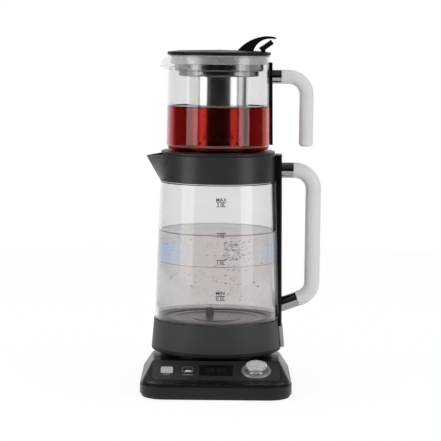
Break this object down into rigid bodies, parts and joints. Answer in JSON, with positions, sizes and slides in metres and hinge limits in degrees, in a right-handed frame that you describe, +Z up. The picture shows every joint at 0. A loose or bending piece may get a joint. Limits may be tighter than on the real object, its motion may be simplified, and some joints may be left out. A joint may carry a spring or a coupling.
{
  "type": "automatic tea maker",
  "caption": "Powered base with sloping control panel, lift-off glass kettle, and a small glass teapot with steel infuser stacked on top, both with side handles.",
  "frame": {"origin": "middle of the object's footprint box, on the surface that it stands on", "axes": "+Z up, +X towards the handles, -Y towards the control panel at the front"},
  "size_m": [0.2065, 0.218, 0.4038],
  "materials": {
    "base_plastic": "satin moulded dark grey plastic",
    "dark_plastic": "matt near-black plastic",
    "foot_rubber": "soft black rubber",
    "screw_steel": "plain steel",
    "panel_plastic": "satin dark grey plastic",
    "display_glass": "gloss black lens",
    "display_module": "display block",
    "circuit_board": "green circuit board",
    "switch_plastic": "plain dark plastic",
    "satin_metal": "satin grey metal",
    "button_grey": "light grey plastic",
    "button_dark": "dark grey plastic",
    "knob_chrome": "polished chrome",
    "contact_brass": "bare brass",
    "collar_plastic": "satin dark grey plastic",
    "plate_steel": "pressed stainless steel",
    "seal_silicone": "grey silicone",
    "probe_plastic": "dark heat-proof cap",
    "element_metal": "sheathed element",
    "kettle_glass": "clear borosilicate glass",
    "pot_glass": "clear borosilicate glass",
    "strap_plastic": "gloss black plastic",
    "foot_steel": "grey brushed steel",
    "ferrule_chrome": "polished chrome",
    "frosted_bar": "frosted pale grey acrylic",
    "ring_plastic": "translucent grey plastic",
    "infuser_steel": "polished stainless steel",
    "lid_plastic": "satin black plastic",
    "latch_plastic": "matt black plastic with ribs"
  },
  "bodies": {
    "base": {"base_top_shell": "base_plastic", "base_bottom_shell": "dark_plastic", "base_feet": "foot_rubber", "base_screws": "screw_steel", "cord_inlet": "foot_rubber", "control_panel": "panel_plastic", "display_window": "display_glass", "display_module": "display_module", "control_board": "circuit_board", "board_screws": "screw_steel", "knob_bezel": "satin_metal", "button_switches": "switch_plastic", "rotary_encoder": "satin_metal"},
    "tea_button": {"tea_button": "button_grey"},
    "warm_button": {"warm_button": "button_dark"},
    "knob": {"knob_shaft": "satin_metal", "knob_body": "satin_metal", "knob_cap": "knob_chrome"},
    "coupler": {"coupler_tower": "dark_plastic", "coupler_contacts": "contact_brass"},
    "kettle": {"kettle_socket": "dark_plastic", "kettle_bottom_collar": "collar_plastic", "kettle_bottom_cover": "dark_plastic", "bottom_cover_screws": "screw_steel", "kettle_control": "switch_plastic", "heating_plate": "plate_steel", "plate_seal": "seal_silicone", "temperature_probe": "probe_plastic", "heating_element": "element_metal", "kettle_glass": "kettle_glass", "glass_top_seal": "seal_silicone", "kettle_spout": "collar_plastic", "kettle_top_collar": "collar_plastic", "handle_strap": "strap_plastic", "strap_foot": "foot_steel", "upper_ferrule": "ferrule_chrome", "lower_ferrule": "ferrule_chrome", "kettle_handle_bar": "frosted_bar"},
    "steam_ring": {"steam_ring": "collar_plastic", "ring_gasket": "seal_silicone"},
    "teapot": {"teapot_glass": "pot_glass", "pot_strap": "strap_plastic", "pot_ferrule": "ferrule_chrome", "pot_handle_bar": "frosted_bar"},
    "infuser": {"infuser_ring": "ring_plastic", "infuser_collar": "infuser_steel", "infuser_tube": "infuser_steel", "infuser_sieve": "infuser_steel"},
    "lid": {"lid_disc": "lid_plastic", "lid_plug": "ring_plastic", "lid_horn": "lid_plastic", "latch_lugs": "lid_plastic"},
    "latch": {"lid_latch": "latch_plastic", "latch_pin": "screw_steel"}
  },
  "joints": [
    {"name": "tea_button_press", "type": "slide", "parent": "base", "child": "tea_button", "axis": [0, 0.3256, -0.9455], "range_m": [0, 0.0008], "stiffness_N_per_m": 700, "springref_m": -0.0012},
    {"name": "warm_button_press", "type": "slide", "parent": "base", "child": "warm_button", "axis": [0, 0.3256, -0.9455], "range_m": [0, 0.0008], "stiffness_N_per_m": 700, "springref_m": -0.0012},
    {"name": "knob_turn", "type": "hinge", "parent": "base", "child": "knob", "pos_m": [0.0272, -0.07067, 0.027], "axis": [0, -0.3256, 0.9455], "continuous": true},
    {"name": "kettle_swivel", "type": "hinge", "parent": "base", "child": "coupler", "pos_m": [-0.0183, 0.023, 0.036], "axis": [0, 0, 1], "continuous": true},
    {"name": "kettle_lift", "type": "slide", "parent": "coupler", "child": "kettle", "axis": [0, 0, 1], "range_m": [0, 0.06]},
    {"name": "ring_lift", "type": "slide", "parent": "kettle", "child": "steam_ring", "axis": [0, 0, 1], "range_m": [0, 0.04]},
    {"name": "pot_lift", "type": "slide", "parent": "steam_ring", "child": "teapot", "axis": [0, 0, 1], "range_m": [0, 0.05]},
    {"name": "infuser_lift", "type": "slide", "parent": "teapot", "child": "infuser", "axis": [0, 0, 1], "range_m": [0, 0.115]},
    {"name": "lid_lift", "type": "slide", "parent": "infuser", "child": "lid", "axis": [0, 0, 1], "range_m": [0, 0.04]},
    {"name": "latch_press", "type": "hinge", "parent": "lid", "child": "latch", "pos_m": [0.0328, 0.023, 0.39008], "axis": [0, 1, 0], "range_deg": [0, 10], "stiffness_Nm_per_rad": 0.12, "springref_deg": -20.05}
  ]
}
